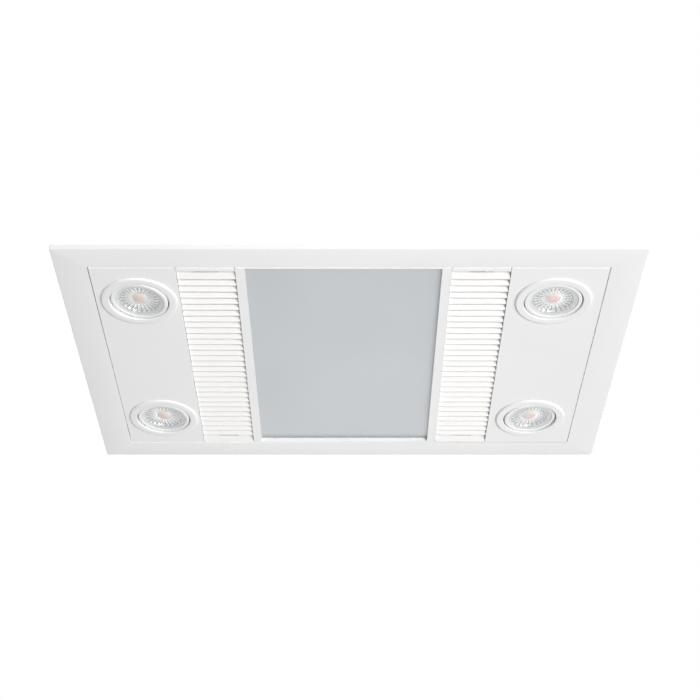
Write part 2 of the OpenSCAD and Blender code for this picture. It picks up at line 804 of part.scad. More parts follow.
// Motor with its foot plate and bearing bosses
module motor() {
    color("dimgray") translate([fan_x, 0, 0]) difference() {
        union() {
            rod(motor_d / 2, [foot_z + foot_t * 0.6, motor_top - 8]);
            rod(motor_d / 2 - 8, [foot_z + foot_t * 0.3, motor_top - 2]);
            rod(hub_r, [foot_z + foot_t, motor_top]);
            for (a = [45, 135]) rotate(a) {
                span([-motor_foot, motor_foot], [-6, 6], [foot_z, foot_z + foot_t]);
                for (s = [-1, 1])
                    translate([s * motor_foot, 0, 0]) rod(8, [foot_z, foot_z + foot_t]);
            }
            for (k = [0:11]) rotate(k * 30)
                span([motor_d / 2 - 1, motor_d / 2 + 1.5], [-2, 2],
                     [foot_z + foot_t + 6, motor_top - 14]);
        }
        rod(shaft_r + run, [foot_z - 1, motor_top + 1]);
        for (a = [45:90:315]) translate(polar(motor_foot, a))
            rod(screw_r + fit, [foot_z - 1, foot_z + foot_t + 1]);
    }
}

// Rubber grommets under the motor's feet
module motor_grommets() {
    color([0.1, 0.1, 0.1]) translate([fan_x, 0, 0]) for (a = [45:90:315])
        translate(polar(motor_foot, a)) difference() {
            union() {
                rod(7, [scroll_top, scroll_top + grommet_h / 3]);
                rod(5, [scroll_top, foot_z]);
                rod(7, [foot_z - grommet_h / 3, foot_z]);
            }
            rod(screw_r + fit, [scroll_top - 1, foot_z + 1]);
        }
}

// Screws through the motor's feet
module motor_screws() {
    color("silver") translate([fan_x, 0, 0]) for (a = [45:90:315])
        translate(polar(motor_foot, a)) translate([0, 0, foot_z + foot_t])
            mirror([0, 0, 1]) pan_screw(screw_r, foot_t + grommet_h + scroll_t + 2);
}

// Running capacitor, standing on the deck
module capacitor() {
    y = house_in_d / 2 - sheet - cap_gap - cap_d / 2;
    color("whitesmoke") translate([fan_x - motor_d / 2, y, deck_top]) {
        rod(cap_d / 2 + 2, [0, 3]);
        rod(cap_d / 2, [2, cap_l]);
        for (s = [-1, 1]) span([s * 6 - 0.4, s * 6 + 0.4], [-3, 3], [cap_l - 1, cap_l + 7]);
    }
}

// Moulded air box: over the heater at the left, behind the duct at the right
module air_box() {
    top = wall_top - fit;
    stop_z = flap_z + flap_l + 1;
    color([0.3, 0.3, 0.32]) difference() {
        union() {
            difference() {
                span([box_x, box_end], [-box_y, box_y], [box_z, top]);
                span([box_x + box_t, box_end - box_t], [-box_y + box_t, box_y - box_t],
                     [box_floor, top + 1]);
            }
            span([flap_x + 2, flap_x + 2 + box_t], [-box_y + 1, box_y - 1], [stop_z, top]);
            span([flap_x + flap_axle_r + 1, flap_x + flap_axle_r + 1 + box_t],
                 [-box_y + 1, box_y - 1], [box_z + 1, flap_z]);
            span([box_x + 1, box_x + box_t + 6], [-box_y + 1, box_y - 1],
                 [box_z + 1, flap_z - flap_t / 2 - fit]);
        }
        span([bay_in, bay_out - 2], [-box_y + box_t, box_y - box_t], [box_z - 1, box_floor + 1]);
        span([box_x - 1, box_x + box_t + 1], outlet_y,
             [flap_z + flap_t + 1, scroll_top - scroll_t]);
        translate([0, 0, duct_z]) rod_x(duct_r - duct_t, [box_end - box_t - 1, box_end + 1]);
        translate([flap_x, 0, flap_z]) rod_y(flap_axle_r + bush_t, [-box_y - 1, box_y + 1]);
    }
}

// Flap that sends the air down through the heater or out to the duct
module changeover_flap() {
    color("silver") union() {
        span([flap_x - flap_l, flap_x], [-flap_y, flap_y],
             [flap_z - flap_t / 2, flap_z + flap_t / 2]);
        translate([flap_x, 0, flap_z]) {
            rod_y(flap_axle_r, [-box_y - 1.5 - 0.55 * flap_motor_t, box_y + 1.5]);
            rod_y(flap_axle_r + 1.5, [-flap_y, flap_y]);
        }
        for (y = [-0.5, 0, 0.5])
            along_y([[flap_x - flap_l * 0.8, flap_z + flap_t / 2], [flap_x - 2, flap_z + 3.5],
                     [flap_x - 2, flap_z]], [y * flap_y - 1, y * flap_y + 1]);
    }
}

// Nylon bushes for the flap's axle
module flap_bushes() {
    color("ivory") both_y() translate([flap_x, 0, flap_z]) difference() {
        union() {
            rod_y(flap_axle_r + bush_t, [box_y - box_t, box_y + bush_head_t]);
            rod_y(flap_axle_r + 2 * bush_t, [box_y, box_y + bush_head_t]);
        }
        rod_y(flap_axle_r + run, [box_y - box_t - 1, box_y + 2]);
    }
}

// Small geared motor that turns the flap
module flap_motor() {
    y = [-box_y - 1.5 - flap_motor_t, -box_y - 1.5];
    foot_x = flap_motor_d / 2 + 5;
    color("gainsboro") translate([flap_x, 0, flap_z]) difference() {
        union() {
            rod_y(flap_motor_d / 2, [y[0], y[1] - 3]);
            rod_y(flap_motor_d / 5, y);
            span([-foot_x - 3, foot_x + 3], [y[1] - 5, y[1] - 3.5], [-5, 5]);
            for (s = [-1, 1]) translate([s * foot_x, 0, 0]) rod_y(3, [y[1] - 4, -box_y]);
        }
        rod_y(flap_axle_r + run, [y[1] - 0.65 * flap_motor_t, -box_y]);
    }
}

// Frame of the heater, from the air box down to the grille bay
module heater_frame() {
    z = [skirt_h + 1, box_z];
    color("lightgray") translate([bay_x, 0, 0]) union() {
        tube4(grille_w, 2 * box_y - 2 * rib_t, rib_t, z);
        both_y() span([-grille_w / 2 - 1, grille_w / 2 + 1], [box_y - 14, box_y - 1],
                      [z[1] - 2, z[1]]);
        for (x = [-1, 1]) span([x * grille_w / 2 - 1, x * grille_w / 2 + 1],
                               [-box_y + 1, box_y - 1], [core_z - 1.5, core_z]);
    }
}

// Heater core: three ceramic bars with aluminium fins across them
module heater_core() {
    w = grille_w - 2 * fit;
    n = floor((2 * core_y - 4) / fin_pitch);
    color([0.75, 0.75, 0.72]) translate([bay_x, 0, 0]) union() {
        for (x = [-w / 2 + 1.5, -w / 6, w / 6, w / 2 - 1.5])
            span([x - 1.5, x + 1.5], [-core_y, core_y], [core_z, core_z + core_h]);
        for (k = [0:n]) translate([0, (k - n / 2) * fin_pitch, 0])
            span([-w / 2 + 1, w / 2 - 1], [-0.3, 0.3], [core_z + 1, core_z + core_h - 1]);
        both_y() span([-w / 2, w / 2], [core_y - 3, core_y + 2], [core_z, core_z + core_h]);
    }
}

// Self-resetting thermal cut-out on the heater's frame
module thermal_cutout() {
    color("black") translate([bay_out + rib_t, 0, box_z - 14]) {
        rod_x(7, [0, 4]);
        span([0, 0.8], [-13, 13], [-3.5, 3.5]);
    }
}

// Spigot for the duct, with the seat and bores of the shutter
module duct_spigot() {
    x0 = house_w / 2;
    half = duct_r + 8;
    color([0.3, 0.3, 0.32]) difference() {
        union() {
            span([x0, x0 + spigot_flange_t], [-half, half],
                 [duct_z - duct_r - 5, min(duct_z + half, house_h - cover_lip - 1)]);
            translate([0, 0, duct_z]) {
                rod_x(duct_r, [x0 + spigot_flange_t / 2, x0 + duct_l]);
                rod_x(duct_r - duct_t / 3, [box_end + fit, x0 + spigot_flange_t]);
            }
        }
        difference() {
            translate([0, 0, duct_z]) rod_x(duct_r - duct_t, [box_end - 1, x0 + duct_l + 1]);
            span([shutter_x - 3, shutter_x - 0.8 - fit], [-duct_r, duct_r],
                 [duct_z - duct_r, duct_z - duct_r + duct_t + 5]);
        }
        translate([shutter_x, 0, shutter_z])
            rod_y(shutter_axle_r + run, [-duct_r - 1, duct_r + 1]);
        spigot_screw_places() rod_x(screw_r, [-1, 3]);
    }
}

// Places of the spigot's screws, on the flange's inner face
module spigot_screw_places() {
    for (sy = [-1, 1], sz = [-0.6, 0.6])
        translate([house_w / 2, sy * (duct_r + 4), duct_z + sz * duct_r]) children();
}

// Screws of the spigot's flange
module spigot_screws() {
    color("silver") spigot_screw_places() translate([spigot_flange_t, 0, 0])
        rotate([0, -90, 0]) pan_screw(screw_r, spigot_flange_t);
}

// Round shutter that keeps outside air from blowing back
module backdraft_shutter() {
    t = 1.6;
    reach = sqrt(pow(duct_r, 2) - pow(shutter_up + shutter_axle_r, 2)) - 0.4;
    color("whitesmoke") union() {
        translate([shutter_x, 0, duct_z]) rod_x(shutter_r, [-t / 2, t / 2]);
        translate([shutter_x, 0, shutter_z]) {
            rod_y(shutter_axle_r, [-reach, reach]);
            rod_y(shutter_axle_r + 1.2, [-shutter_r * 0.85, shutter_r * 0.85]);
        }
    }
}

// Box for the mains terminals, on the housing's left wall
module terminal_box() {
    x = [term_x + term_t, -house_w / 2];
    color("whitesmoke") difference() {
        union() {
            difference() {
                span(x, [-term_l / 2, term_l / 2], [term_z, term_z + term_h]);
                span([x[0] - 1, x[1] - term_t], [-term_l / 2 + term_t, term_l / 2 - term_t],
                     [term_z + term_t, term_z + term_h - term_t]);
            }
            for (sy = [-1, 1], z = [term_z + 5, term_z + term_h - 5])
                translate([0, sy * (term_l / 2 - 5), z]) rod_x(4, [x[0], x[1] - 1]);
        }
        translate([0, 0, term_z + term_h / 2]) rod_x(11, [x[1] - term_t - 1, x[1] + 1]);
        translate([term_x + term_d / 2, 0, term_z + term_h / 2])
            rod_y(gland_r + fit, [term_l / 2 - term_t - 1, term_l / 2 + 1]);
    }
}

// Lid of the terminal box, with its four screws' heads
module terminal_lid() {
    color("white") union() {
        span([term_x, term_x + term_t], [-term_l / 2, term_l / 2], [term_z, term_z + term_h]);
        for (sy = [-1, 1], z = [term_z + 5, term_z + term_h - 5])
            translate([0, sy * (term_l / 2 - 5), z]) rod_x(3, [term_x - 1.2, term_x + 0.5]);
    }
}

// Terminal block, with a screw well and two wire entries for each pole
module terminal_block() {
    x1 = -house_w / 2 - term_t;
    y0 = term_t + 14 - term_l / 2;
    z0 = term_z + (term_h - block_h) / 2;
    entry = [pole_pitch * 0.2, pole_pitch * 0.8];
    color("ivory") difference() {
        span([x1 - block_w, x1], [y0, y0 + poles * pole_pitch], [z0, z0 + block_h]);
        for (k = [0:poles - 1]) translate([x1 - block_w, y0 + k * pole_pitch, z0]) {
            translate([0, pole_pitch / 2, block_h / 2]) rod_x(pole_pitch / 5, [-1, block_w * 0.7]);
            span([-1, block_w * 0.4], entry, [-1, block_h / 6]);
            span([-1, block_w * 0.4], entry, [block_h * 5 / 6, block_h + 1]);
        }
        for (k = [1:poles - 1])
            span([x1 - block_w - 1, x1 - 3],
                 [y0 + k * pole_pitch - 0.6, y0 + k * pole_pitch + 0.6], [z0 - 1, z0 + block_h + 1]);
    }
}

// Gland that takes the supply cable
module cable_gland() {
    y0 = term_l / 2;
    color([0.85, 0.85, 0.85]) translate([term_x + term_d / 2, 0, term_z + term_h / 2])
        difference() {
            union() {
                rod_y(gland_r, [y0 - term_t - 4, y0 + 3]);
                translate([0, y0, 0]) rotate([-90, 0, 0])
                    cylinder(r = gland_r + 2.5, h = 4, $fn = 6);
                rod_y(gland_r + 1, [y0 + 4, y0 + 12]);
                translate([0, y0 - term_t - 3.5, 0]) rotate([-90, 0, 0])
                    cylinder(r = gland_r + 2.5, h = 3.5, $fn = 6);
            }
            rod_y(cable_d / 2 + fit, [y0 - term_t - 5, y0 + 13]);
        }
}

// Two drivers for the lamps, on the housing's left wall
module lamp_drivers() {
    x = -house_in_w / 2;
    y = driver_gap / 2;
    z = [term_z - 10 - driver_h, term_z - 10];
    color("white") both_y() {
        span([x, x + driver_w], [y, y + driver_l], z);
        span([x, x + 2], [y, y + driver_l + 7], z);
    }
}

outer_frame();
front_panel();
centre_panel();
intake_grille();
warm_air_grille();
for (i = [0:3]) lamp_ring(i);
for (i = [0:3]) lamp_head(i);
for (i = [0:3]) lamp_lens(i);
for (i = [0:3]) lamp_board(i);
for (i = [0:3]) lamp_heat_sink(i);
lamp_clips();
fascia_screws();
fascia_brackets();
housing();
top_cover();
cover_screws();
fan_deck();
inlet_ring();
fan_scroll();
impeller();
impeller_nut();
motor_shaft();
motor();
motor_grommets();
motor_screws();
capacitor();
air_box();
changeover_flap();
flap_bushes();
flap_motor();
heater_frame();
heater_core();
thermal_cutout();
duct_spigot();
spigot_screws();
backdraft_shutter();
terminal_box();
terminal_lid();
terminal_block();
cable_gland();
lamp_drivers();
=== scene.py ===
import math

import bmesh
import bpy
import numpy as np
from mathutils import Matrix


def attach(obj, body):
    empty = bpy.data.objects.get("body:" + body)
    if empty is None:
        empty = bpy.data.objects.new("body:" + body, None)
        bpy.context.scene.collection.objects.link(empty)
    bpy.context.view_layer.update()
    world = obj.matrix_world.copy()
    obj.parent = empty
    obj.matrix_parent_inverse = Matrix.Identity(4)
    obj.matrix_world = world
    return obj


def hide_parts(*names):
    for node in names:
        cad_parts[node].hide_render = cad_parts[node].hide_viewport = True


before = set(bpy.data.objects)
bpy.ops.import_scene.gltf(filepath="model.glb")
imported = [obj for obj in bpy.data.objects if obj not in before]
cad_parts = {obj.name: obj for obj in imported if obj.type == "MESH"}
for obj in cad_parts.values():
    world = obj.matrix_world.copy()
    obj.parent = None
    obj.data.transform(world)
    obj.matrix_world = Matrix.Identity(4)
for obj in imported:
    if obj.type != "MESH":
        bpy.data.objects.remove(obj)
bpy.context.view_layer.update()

# Camera
# The photograph looks up at the unit from the floor of the room, from beyond its near long
# side, with a mild telephoto lens.
CAMERA_PLACE = (0.0, -1.340, -0.891)
CAMERA_RISE_DEG = 34.0
CAMERA_FOCAL_MM = 72.6
CAMERA_SHIFT_X = 0.0011
CAMERA_CLIP_START = 0.01
camera = bpy.data.objects.new("camera", bpy.data.cameras.new("camera"))
camera.location = CAMERA_PLACE
camera.rotation_euler = (math.radians(90 + CAMERA_RISE_DEG), 0, 0)
camera.data.lens = CAMERA_FOCAL_MM
camera.data.shift_x = CAMERA_SHIFT_X
camera.data.clip_start = CAMERA_CLIP_START
bpy.context.scene.collection.objects.link(camera)
bpy.context.scene.camera = camera
bpy.context.scene.view_settings.view_transform = "Standard"


# Room
# A plain white ceiling, cut out for the unit, shows only from below, and a plain pale floor
# that takes the unit's shadow shows only from above. A little light comes from all round, most
# from a broad soft lamp at the right, and a small lamp draws the slats' shadows.
def linear(hex_colour, gain=1.0):
    """An sRGB hex colour as linear RGBA, times a gain."""
    srgb = np.array([int(hex_colour[i:i + 2], 16) for i in (1, 3, 5)]) / 255
    values = np.where(srgb <= 0.04045, srgb / 12.92, ((srgb + 0.055) / 1.055) ** 2.4)
    return (*(values * gain).tolist(), 1.0)


def add(tree, kind, inputs=None, **settings):
    """Adds one node: settings are its own, inputs are values or sockets to link."""
    made = tree.nodes.new(kind)
    for name, value in settings.items():
        setattr(made, name, value)
    for name, value in (inputs or {}).items():
        if isinstance(value, bpy.types.NodeSocket):
            tree.links.new(value, made.inputs[name])
        else:
            made.inputs[name].default_value = value
    return made


def bare_material(name):
    """A node material that has only its output, with its tree and that output."""
    material = bpy.data.materials.new(name)
    material.use_nodes = True
    material.node_tree.nodes.clear()
    return material, material.node_tree, add(material.node_tree, "ShaderNodeOutputMaterial")


STAGE_HALF_WIDTH = 6.0
FADE_START = 0.3  # as a share of the distance from which a plane is plain white


def stage_plane(name, height, seen_from_above, white_from, cut_out=None):
    """A square plane that only the camera sees, and only from above or only from below. Lamps
    light it round the middle, and it is plain white beyond the distance white_from. A cut-out
    is a rectangle round the middle, given by half its length and depth."""
    corners = np.array([(-1, -1, 0), (1, -1, 0), (1, 1, 0), (-1, 1, 0)])
    points, faces = corners * STAGE_HALF_WIDTH, [(0, 1, 2, 3)]
    if cut_out:
        points = np.concatenate([points, corners * (*cut_out, 0)])
        faces = [(i, (i + 1) % 4, (i + 1) % 4 + 4, i + 4) for i in range(4)]
    mesh = bpy.data.meshes.new(name)
    mesh.from_pydata((points + (0, 0, height)).tolist(), [], faces)
    plane = bpy.data.objects.new(name, mesh)
    material, tree, output = bare_material(name)
    side = add(tree, "ShaderNodeNewGeometry").outputs["Backfacing"]
    place = add(tree, "ShaderNodeTexCoord").outputs["Object"]
    reach = add(tree, "ShaderNodeVectorMath", {0: place}, operation="LENGTH").outputs["Value"]
    far = add(tree, "ShaderNodeMapRange",
              {"Value": reach, "From Min": white_from * FADE_START, "From Max": white_from},
              interpolation_type="SMOOTHSTEP").outputs[0]
    lit = add(tree, "ShaderNodeBsdfDiffuse", {"Color": linear("#f2f2f2")}).outputs[0]
    white = add(tree, "ShaderNodeEmission", {"Color": linear("#ffffff")}).outputs[0]
    shown = add(tree, "ShaderNodeMixShader", {0: far, 1: lit, 2: white}).outputs[0]
    clear = add(tree, "ShaderNodeBsdfTransparent").outputs[0]
    from_above, from_below = (shown, clear) if seen_from_above else (clear, shown)
    mixed = add(tree, "ShaderNodeMixShader", {0: side, 1: from_above, 2: from_below})
    tree.links.new(mixed.outputs[0], output.inputs["Surface"])
    mesh.materials.append(material)
    bpy.context.scene.collection.objects.link(plane)
    plane.visible_shadow = plane.visible_diffuse = False
    plane.visible_glossy = plane.visible_transmission = False


CEILING_HEIGHT, CEILING_WHITE_FROM, CEILING_CUT_OUT = 0.0004, 0.001, (0.295, 0.2)
FLOOR_HEIGHT, FLOOR_WHITE_FROM = -0.055, 1.7
stage_plane("ceiling", CEILING_HEIGHT, False, CEILING_WHITE_FROM, CEILING_CUT_OUT)
stage_plane("floor", FLOOR_HEIGHT, True, FLOOR_WHITE_FROM)

ROOM_LIGHT = 0.30  # what reaches the object; the camera and reflections see plain white
world = bpy.data.worlds.new("room")
bpy.context.scene.world = world
world.use_nodes = True
sky = world.node_tree
sky.nodes.clear()
path = add(sky, "ShaderNodeLightPath")
mirrored = add(sky, "ShaderNodeMath", {0: path.outputs["Is Glossy Ray"],
                                       1: path.outputs["Is Transmission Ray"]},
               operation="MAXIMUM")
shown_white = add(sky, "ShaderNodeMath", {0: path.outputs["Is Camera Ray"],
                                          1: mirrored.outputs[0]}, operation="MAXIMUM")
level = add(sky, "ShaderNodeMapRange",
            {"Value": shown_white.outputs[0], "To Min": ROOM_LIGHT, "To Max": 1.0})
glow = add(sky, "ShaderNodeBackground",
           {"Color": linear("#ffffff"), "Strength": level.outputs[0]})
add(sky, "ShaderNodeOutputWorld", {"Surface": glow.outputs[0]})


def area_lamp(name, place, target, size, watts):
    """A square soft lamp at place that shines at target."""
    lamp = bpy.data.objects.new(name, bpy.data.lights.new(name, "AREA"))
    lamp.data.size = size
    lamp.data.energy = watts
    lamp.location = place
    aim = np.array(target) - np.array(place)
    lamp.rotation_euler = (math.acos(-aim[2] / np.linalg.norm(aim)), 0,
                           math.atan2(aim[1], aim[0]) - math.pi / 2)
    bpy.context.scene.collection.objects.link(lamp)


# Each row: the lamp's place, the point that it shines at, its size in metres and its watts.
ROOM_LAMPS = {
    "key_lamp": ((1.25, -3.4, -1.85), (0, 0, 0), 0.5, 86),
    "window_lamp": ((3.4, -1.8, -2.8), (0, 0, 0), 3.2, 115),
    "far_lamp": ((0.05, 1.2, -0.9), (0, 0.1, 0), 0.8, 2.6),
    "upper_lamp": ((0.9, -1.4, 2.4), (0, 0, 0.1), 1.2, 40),
    "upper_left_lamp": ((-2.0, 1.1, 1.5), (0, 0, 0.1), 1.2, 32),
}
for name, row in ROOM_LAMPS.items():
    area_lamp(name, *row)


# Border
# The border is one frame of white ABS, injection moulded with a fine satin grain. Its outer
# edge turns up to the ceiling, its lower edge is rounded, and the fascia's screws hold it up
# through the front panel's lap.
def blank_grid(rows, columns, close_rows, close_columns):
    """Quads of a grid of points, row by row. Where the rows or the columns close, the last
    one is joined to the first."""
    i = np.arange(rows if close_rows else rows - 1)
    j = np.arange(columns if close_columns else columns - 1)
    i, j = (a.ravel() for a in np.meshgrid(i, j, indexing="ij"))
    i2, j2 = (i + 1) % rows, (j + 1) % columns
    here, after = i * columns, i2 * columns
    return np.stack([here + j, here + j2, after + j2, after + j], 1)


LONGEST_CUT = 0.45  # as a share of the side beside a corner


def eased(corners, cut, steps):
    """A path whose corners become curves. Each corner P is the middle point of a quadratic
    curve that starts the cut length before P and ends that length after it."""
    p = np.asarray(corners, float)
    before, after = np.roll(p, 1, 0) - p, np.roll(p, -1, 0) - p
    size_before = np.linalg.norm(before, axis=1, keepdims=True)
    size_after = np.linalg.norm(after, axis=1, keepdims=True)
    reach = np.minimum(np.broadcast_to(np.reshape(cut, (-1, 1)), size_before.shape),
                       np.minimum(size_before, size_after) * LONGEST_CUT)
    start, end = p + before / size_before * reach, p + after / size_after * reach
    t = np.linspace(0, 1, steps + 1)[None, :, None]
    curve = (1 - t) ** 2 * start[:, None] + 2 * t * (1 - t) * p[:, None]
    curve = curve + t ** 2 * end[:, None]
    return curve.reshape(-1, p.shape[1])


MERGE_DISTANCE = 2e-6


def made_piece(name, points, quads, material):
    """A smooth-shaded object of points in millimetres, with its doubles merged and its faces
    turned outwards."""
    mesh = bpy.data.meshes.new(name)
    mesh.from_pydata((np.asarray(points) / 1000).tolist(), [], np.asarray(quads).tolist())
    solid = bmesh.new()
    solid.from_mesh(mesh)
    bmesh.ops.remove_doubles(solid, verts=solid.verts, dist=MERGE_DISTANCE)
    bmesh.ops.recalc_face_normals(solid, faces=solid.faces)
    solid.to_mesh(mesh)
    solid.free()
    mesh.shade_smooth()
    mesh.materials.append(material)
    piece = bpy.data.objects.new(name, mesh)
    bpy.context.scene.collection.objects.link(piece)
    return piece


def moulded_plastic(name, colour, roughness, grain_mm=0.6, grain_depth_mm=0.01):
    """Injection-moulded plastic: the mould's grain in the surface, and slow clouds in tone
    and gloss where the plastic flowed. The real grain is about 0.2 mm wide and is drawn
    coarser, so that it shows."""
    cloud_mm, darkest, gloss_range = 70, 0.965, 0.05
    material, tree, output = bare_material(name)
    place = add(tree, "ShaderNodeTexCoord").outputs["Object"]
    grain = add(tree, "ShaderNodeTexNoise",
                {"Vector": place, "Scale": 1000 / grain_mm, "Detail": 2.0})
    cloud = add(tree, "ShaderNodeTexNoise",
                {"Vector": place, "Scale": 1000 / cloud_mm, "Detail": 3.0}).outputs["Fac"]
    tone = add(tree, "ShaderNodeMix",
               {0: cloud, 6: linear(colour), 7: linear(colour, darkest)}, data_type="RGBA")
    gloss = add(tree, "ShaderNodeMapRange", {"Value": cloud, "To Min": roughness - gloss_range,
                                             "To Max": roughness + gloss_range})
    bump = add(tree, "ShaderNodeBump", {"Height": grain.outputs["Fac"], "Strength": 0.5,
                                        "Distance": grain_depth_mm / 1000})
    shader = add(tree, "ShaderNodeBsdfPrincipled",
                 {"Base Color": tone.outputs[2], "Roughness": gloss.outputs[0],
                  "Normal": bump.outputs[0]})
    tree.links.new(shader.outputs[0], output.inputs["Surface"])
    return material


FASCIA_LENGTH, FASCIA_DEPTH = 610.0, 420.0
BORDER_SIDE, BORDER_END = 34.0, 31.0
FACE_Z, FACE_BACK_Z = -5.0, -2.6
RIM = 2.0
CORNER_RADIUS, CORNER_STEPS = 1.6, 6


def bordered(name, profile, length, depth, radius, material):
    """A closed profile carried round a rectangle. Each profile point has an inward offset on
    the short sides, one on the long sides and a height, and its path is the rectangle shrunk
    by those offsets, with its corners rounded by what is left of the radius."""
    a = np.asarray(profile, float)
    side, end, z = a[:, 0, None], a[:, 1, None], a[:, 2, None]
    quarter = np.linspace(0, 90, CORNER_STEPS)
    turn = np.radians(np.concatenate([quarter + first for first in (0, 90, 180, 270)]))
    sign_x = np.repeat([1, -1, -1, 1], CORNER_STEPS)[None]
    sign_y = np.repeat([1, 1, -1, -1], CORNER_STEPS)[None]
    left = np.maximum(radius - np.maximum(side, end), 0)
    x = sign_x * (length / 2 - side - left) + left * np.cos(turn)[None]
    y = sign_y * (depth / 2 - end - left) + left * np.sin(turn)[None]
    points = np.stack([x, y, np.broadcast_to(z, x.shape)], 2).reshape(-1, 3)
    return made_piece(name, points, blank_grid(len(a), x.shape[1], True, True), material)


# Satin white ABS: neutral, even white with a wide, dull highlight along its edges.
white_abs = moulded_plastic("white_abs", "#f3f3f3", 0.42)
border_section = np.array([
    (0, 0, 0), (0, 0, FACE_Z), (BORDER_SIDE, BORDER_END, FACE_Z),
    (BORDER_SIDE, BORDER_END, FACE_BACK_Z), (RIM, RIM, FACE_BACK_Z), (RIM, RIM, 0)])
BORDER_CUTS = [0.2, 1.3, 0.45, 0.3, 0.3, 0.2]  # one for each corner of the section
border = bordered("border_moulding", eased(border_section, BORDER_CUTS, 5),
                  FASCIA_LENGTH, FASCIA_DEPTH, CORNER_RADIUS, white_abs)
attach(border, "root")
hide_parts("outer_frame")


# Front panel
# The inner moulding is white ABS too: two lamp panels, two bars beside the silver panel, and
# the bays of the grilles. Its lap lies on the border's back, and a fine open seam parts them.
FLAT_WITHIN_DEG = 0.5


def softened(node, name, width, material, angle=40):
    """A copy of a CAD solid with its triangles merged into faces, and each edge that is
    sharper than the angle rounded to the width in millimetres."""
    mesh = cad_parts[node].data.copy()
    mesh.name = name
    solid = bmesh.new()
    solid.from_mesh(mesh)
    bmesh.ops.remove_doubles(solid, verts=solid.verts, dist=MERGE_DISTANCE)
    bmesh.ops.dissolve_limit(solid, angle_limit=math.radians(FLAT_WITHIN_DEG),
                             verts=solid.verts, edges=solid.edges)
    solid.to_mesh(mesh)
    solid.free()
    mesh.shade_smooth()
    mesh.materials.clear()
    mesh.materials.append(material)
    piece = bpy.data.objects.new(name, mesh)
    bpy.context.scene.collection.objects.link(piece)
    edge = piece.modifiers.new("edge", "BEVEL")
    edge.width = width / 1000
    edge.segments = 2
    edge.limit_method = "ANGLE"
    edge.angle_limit = math.radians(angle)
    edge.use_clamp_overlap = True
    even = piece.modifiers.new("even", "WEIGHTED_NORMAL")
    even.keep_sharp = True
    return piece


NEAR_Y = -178.1  # where the faces of the front panel and of the grilles end
WITHIN = 0.05  # how near in millimetres a point counts as on a line


def round_near_edge(piece, width):
    """Rounds the lower near edge of a fascia moulding to the width in millimetres. Its points
    have the y of the panel's near end and the height of its face."""
    place = np.empty(len(piece.data.vertices) * 3)
    piece.data.vertices.foreach_get("co", place)
    off = np.abs(place.reshape(-1, 3)[:, 1:] * 1000 - (NEAR_Y, FACE_Z))
    on_line = (off < WITHIN).all(1)
    ends = np.empty(len(piece.data.edges) * 2, int)
    piece.data.edges.foreach_get("vertices", ends)
    chosen = np.flatnonzero(on_line[ends.reshape(-1, 2)].all(1))
    solid = bmesh.new()
    solid.from_mesh(piece.data)
    solid.edges.ensure_lookup_table()
    bmesh.ops.bevel(solid, geom=[solid.edges[i] for i in chosen], offset=width / 1000,
                    segments=4, profile=0.5, affect="EDGES")
    solid.to_mesh(piece.data)
    solid.free()


FRONT_EDGE, FRONT_NEAR_EDGE = 0.35, 1.0
front = softened("front_panel", "front_moulding", FRONT_EDGE, white_abs)
round_near_edge(front, FRONT_NEAR_EDGE)
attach(front, "root")
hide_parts("front_panel")


# Centre panel
# A flat aluminium sheet with a satin silver paint lies behind the middle opening. The paint
# holds fine flakes, so it looks grey and even with a soft sheen.
def silver_paint(name, colour, roughness):
    """Metallic paint: flakes in tone and slow clouds in gloss. Real flakes are about 0.03 mm
    wide and are drawn coarser, so that they show."""
    flake_mm, cloud_mm = 0.5, 110
    darkest, lightest, gloss_range = 0.97, 1.03, 0.04
    material, tree, output = bare_material(name)
    place = add(tree, "ShaderNodeTexCoord").outputs["Object"]
    flake = add(tree, "ShaderNodeTexVoronoi", {"Vector": place, "Scale": 1000 / flake_mm})
    cloud = add(tree, "ShaderNodeTexNoise",
                {"Vector": place, "Scale": 1000 / cloud_mm, "Detail": 3.0}).outputs["Fac"]
    tone = add(tree, "ShaderNodeMix",
               {0: flake.outputs["Color"], 6: linear(colour, darkest),
                7: linear(colour, lightest)}, data_type="RGBA")
    gloss = add(tree, "ShaderNodeMapRange", {"Value": cloud, "To Min": roughness - gloss_range,
                                             "To Max": roughness + gloss_range})
    shader = add(tree, "ShaderNodeBsdfPrincipled",
                 {"Base Color": tone.outputs[2], "Roughness": gloss.outputs[0],
                  "Metallic": 0.6})
    tree.links.new(shader.outputs[0], output.inputs["Surface"])
    return material


# Satin silver paint: an even, cool grey that grows lighter towards the lamps.
silver = silver_paint("satin_silver_paint", "#adb0b2", 0.45)
SILVER_EDGE = 0.3
silver_sheet = softened("centre_panel", "silver_panel", SILVER_EDGE, silver)
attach(silver_sheet, "root")
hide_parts("centre_panel")


# Grilles
# Each grille is one moulding of white polypropylene, a little glossier than the fascia: two
# rails, a row of slats that lean towards the near end, a flat bar there and two finger slots.
SLOT_FAR_Y, SLOT_LOW_Z, SLOT_HIGH_Z = -164.2, -2.5, -0.9  # the near slot's far face
SHELF_DEPTH, SHELF_RISE = 3.5, 0.15


def lay_slot_shelf(piece):
    """Lays the far face of a grille's near finger slot down as a fingertip's shelf. The
    face's upper points move towards the near end by the shelf's depth, down to its height."""
    place = np.empty(len(piece.data.vertices) * 3)
    piece.data.vertices.foreach_get("co", place)
    place = place.reshape(-1, 3) * 1000
    off = np.abs(place[:, 1:] - (SLOT_FAR_Y, SLOT_HIGH_Z))
    upper = (off < (WITHIN, 2 * WITHIN)).all(1)
    place[upper, 1] -= SHELF_DEPTH
    place[upper, 2] = SLOT_LOW_Z + SHELF_RISE
    piece.data.vertices.foreach_set("co", (place / 1000).ravel())


